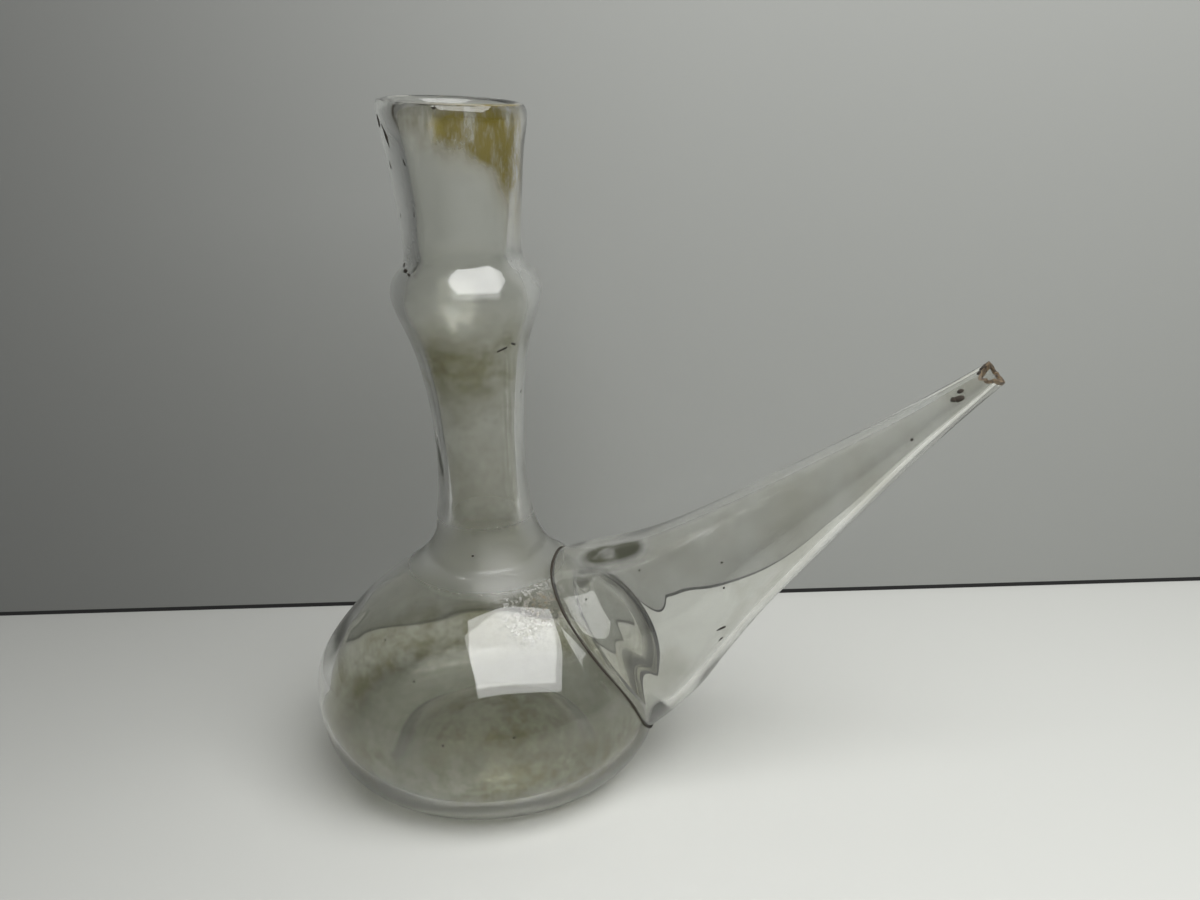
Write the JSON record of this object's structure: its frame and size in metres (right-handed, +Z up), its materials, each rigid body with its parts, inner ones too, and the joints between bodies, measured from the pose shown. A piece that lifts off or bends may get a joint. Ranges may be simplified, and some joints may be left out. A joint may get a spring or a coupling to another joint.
{
  "type": "blown glass spouted pitcher",
  "caption": "Hand-blown clear glass pitcher with a squat round bowl, a neck with a hollow bulge, a flared open mouth and a long tapered side spout.",
  "frame": {"origin": "centre of the flat resting ring under the bowl, on the table", "axes": "+Z up; +X from the bowl towards the spout's tip, so the spout lies in the XZ plane; +Y to the left of the spout"},
  "size_m": [0.2677, 0.1408, 0.2653],
  "materials": {
    "body_glass": "clear hand-blown glass, faint grey-green tint, dulled inside by old deposits",
    "spout_glass": "clear hand-blown glass, faint grey-green tint"
  },
  "bodies": {
    "root": {"base": "body_glass", "bowl": "body_glass", "neck": "body_glass", "mouth": "body_glass", "spout": "spout_glass"}
  },
  "joints": []
}
